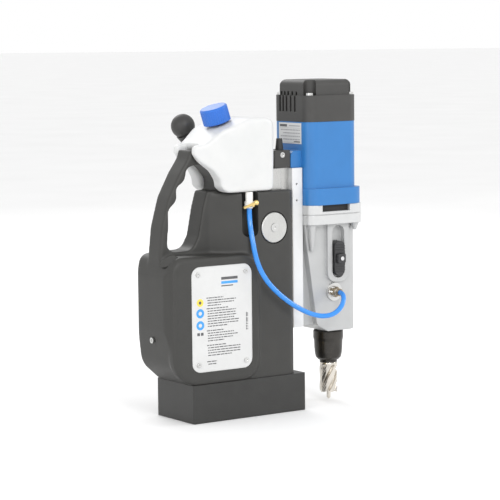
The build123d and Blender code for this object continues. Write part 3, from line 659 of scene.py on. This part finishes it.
def slab_set(name, body, key, boxes):
    """Many flat boxes in mm as one thin printed layer."""
    bm = bmesh.new()
    for x0, x1, y0, y1, z0, z1 in boxes:
        corners = [bm.verts.new((x * MM, y * MM, z * MM))
                   for x in (x0, x1) for y in (y0, y1) for z in (z0, z1)]
        for face in BOX_FACES:
            bm.faces.new([corners[i] for i in face])
    bmesh.ops.recalc_face_normals(bm, faces=bm.faces)
    obj = place_mesh(name, bm)
    dress(obj, key)
    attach(obj, body)


def dashes(start, stop):
    """Word-like dashes along one printed line."""
    out = []
    at = start
    while at < stop:
        length = rng.uniform(1.6, 6.0)
        out.append((at, min(at + length, stop)))
        at += length + 0.8
    return out


LABEL_FACE = (-41.07, -40.95)
# top line, number of lines, where the longest one stops
TEXT_BLOCKS = [(146.5, 4, -20), (134.0, 8, -15), (108.2, 5, -17), (91.0, 5, -12), (72.0, 2, -30)]
TEXT_LEFT = -61.3
TEXT_INDENT = 1.4
LINE_STEP = 2.95
HALF_LINE = 0.55
DOT_X = -70.2
DOTS = [("label_dot_a", 141.6, 4.6, "ink_amber"), ("label_dot_b", 129.1, 5.4, "ink_blue_pale"),
        ("label_dot_c", 115.1, 5.4, "ink_blue_pale")]


def label_print():
    """Plain bars, dashes and discs in the places of the printed matter."""
    rows = []
    for top, count, reach in TEXT_BLOCKS:
        for i in range(count):
            z = top - LINE_STEP * i
            left = TEXT_LEFT + (TEXT_INDENT if i else 0.0)
            stop = reach - (rng.uniform(14, 26) if i in (0, count - 1) else rng.uniform(0, 8))
            for a, b in dashes(left, stop):
                rows.append((a, b, *LABEL_FACE, z - HALF_LINE, z + HALF_LINE))
    for a, b in dashes(105.0, 126.0):
        rows.append((-6.1, -5.0, *LABEL_FACE, a, b))
        rows.append((-4.2, -3.5, *LABEL_FACE, a, b - 0.4))
    slab_set("label_text", "stand", "ink_dark", rows)
    header = [(-40.5, -17.5, *LABEL_FACE, 166.4, 169.6), (-40.5, -24.0, *LABEL_FACE, 158.6, 159.9)]
    header += [(-74.6, -71.0, *LABEL_FACE, 103.2, 106.6), (-69.6, -66.0, *LABEL_FACE, 103.2, 106.6)]
    slab_set("label_header", "stand", "ink_dark", header)
    slab_set("label_accent", "stand", "ink_blue_pale", [(-40.5, -17.5, *LABEL_FACE, 161.6, 164.6)])
    for name, z, r, key in DOTS:
        disc = tube_y(name, DOT_X, z, r, *LABEL_FACE, sides=40)
        finish_piece(disc, "stand", key, 40)
        mark = tube_y(name + "_mark", DOT_X, z, r * 0.42, LABEL_FACE[0] - 0.04, LABEL_FACE[1], sides=32)
        finish_piece(mark, "stand", "ink_dark" if key == "ink_amber" else "plate_white", 40)


label_print()

RATING_FACE = (88.62, 88.72)


def rating_print():
    """Bars and dashes on the motor's plate, between two thin rules."""
    dark = [(*RATING_FACE, 21.0, 6.0, 338.6, 341.6)]
    grey = [(*RATING_FACE, 2.0, -20.5, 339.4, 340.6)]
    for i, z in enumerate((335.0, 331.2, 327.4, 323.6)):
        for a, b in dashes(-20.5, 19.0 - 5.0 * (i % 2)):
            grey.append((*RATING_FACE, b, a, z - 0.7, z + 0.6))
    dark.append((*RATING_FACE, -8.0, -20.5, 320.3, 321.6))
    for z in (337.2, 319.9):
        grey.append((*RATING_FACE, 21.5, -21.5, z - 0.15, z + 0.15))
    slab_set("rating_header", "carriage", "ink_dark", dark)
    slab_set("rating_text", "carriage", "ink_grey", grey)


rating_print()


# ---------------------------------------------------------------- small fittings
FITTING = (131, 138)
NUT_R = 6.5
NUT_TURN = 0.3
SELECTOR_DOT = (135.8, 179)
START = (-44, 138)
STOP = (-18, 138)
# centre and half width of each printed bar on the control panel
PANEL_MARKS = [(-70, 118, 7), (-44, 120, 7), (-18, 120, 7), (-70, 114.8, 4), (-44, 116.8, 4), (-18, 116.8, 4)]
HALF_BAR = 0.5


def ring_of(name, centre, r_out, r_in, y0, y1, body, key, soft=0.4):
    """A ring along Y with softened edges."""
    piece = tube_y(name, *centre, r_out, y0, y1, sides=72)
    modifier = piece.modifiers.new("edge", "BEVEL")
    modifier.width = soft * MM
    modifier.segments = 3
    modifier.limit_method = "ANGLE"
    bake(piece)
    combine(piece, tube_y("bore", *centre, r_in, y0 - 5, y1 + 5, sides=72), "DIFFERENCE")
    finish_piece(piece, body, key, 35)


hexagon = [(FITTING[0] + NUT_R * math.cos(k * math.pi / 3 + NUT_TURN),
            FITTING[1] + NUT_R * math.sin(k * math.pi / 3 + NUT_TURN)) for k in range(6)]
nut = prism("coolant_nut", hexagon, -36.4, -31.45, soft=0.6, segments=2)
combine(nut, tube_y("bore", *FITTING, 4.52, -60, -20), "DIFFERENCE")
finish_piece(nut, "carriage", "nut_bronze", 30)
ring_of("hose_clip", FITTING, 4.5, 3.02, -42.2, -38.6, "carriage", "nut_bronze", 0.3)

dot = tube_y("selector_dot", *SELECTOR_DOT, 2.5, -41.5, -39.4, sides=40)
finish_piece(dot, "selector_lock", "bearing_steel", 40)

# A near-black box behind the flange window, not a real part: painted shade for the window's shadowed inside.
window_shade_box = box_mm("flange_window_shade_box", 107.2, 147.8, -36.0, -27.1, 237.15, 245.0)
finish_piece(window_shade_box, "carriage", "hollow_black", 30)

for name, place in (("start_bezel", START), ("stop_bezel", STOP)):
    ring_of(name, place, 11.6, 9.05, 39.9, 42.0, "stand", "zinc")
bezel_outline = [(-79.6, 124.4, 3), (-60.4, 124.4, 3), (-60.4, 151.6, 3), (-79.6, 151.6, 3)]
bezel = prism("rocker_bezel", rounded(bezel_outline), 39.9, 41.6, soft=0.6)
combine(bezel, box_mm("bore", -78.1, -61.9, 20, 60, 125.9, 150.1), "DIFFERENCE")
finish_piece(bezel, "stand", "black_plastic", 35)
slab_set("panel_marks", "stand", "ink_pale", [
    (x - half, x + half, 39.96, 40.08, z - HALF_BAR, z + HALF_BAR) for x, z, half in PANEL_MARKS])


# ---------------------------------------------------------------- stage and lights
FLOOR_SIZE = 120
FLOOR_DROP = 0.0004
# name, place, aimed at, size in m, power in W
LIGHTS = [
    ("key", (-0.5, -2.2, 1.5), (0.03, 0, 0.2), 0.9, 22),
    ("side", (2.2, -1.1, 1.0), (0.1, 0, 0.2), 0.7, 10),
    ("left", (-2.1, -0.9, 0.9), (0, 0, 0.2), 1.2, 9),
    ("back", (0.4, 1.9, 1.6), (0, 0, 0.2), 1.2, 12),
]


def area_light(name, place, target, size, energy):
    data = bpy.data.lights.new(name, "AREA")
    data.shape = "DISK"
    data.size = size
    data.energy = energy
    obj = bpy.data.objects.new(name, data)
    bpy.context.scene.collection.objects.link(obj)
    aim = Vector(target) - Vector(place)
    obj.location = place
    obj.rotation_euler = aim.to_track_quat("-Z", "Y").to_euler()


def studio():
    bpy.ops.mesh.primitive_plane_add(size=FLOOR_SIZE, location=(0, 0, -FLOOR_DROP))
    floor = bpy.context.object
    floor.name = "floor"
    n = Nodes("floor_paper")
    cloud = n.noise(3.0, 2.0)
    n.two_tone(n.mapped(cloud, 0.0, 1.0), (0.9, 0.9, 0.9), (0.93, 0.93, 0.93))
    n.shader.inputs["Roughness"].default_value = 0.7
    floor.data.materials.append(n.material)
    world = bpy.data.worlds.new("studio")
    bpy.context.scene.world = world
    world.use_nodes = True
    world.node_tree.nodes["Background"].inputs["Color"].default_value = (1, 1, 1, 1)
    world.node_tree.nodes["Background"].inputs["Strength"].default_value = 1.0
    for light in LIGHTS:
        area_light(*light)
    bpy.context.scene.view_settings.view_transform = "Standard"


studio()
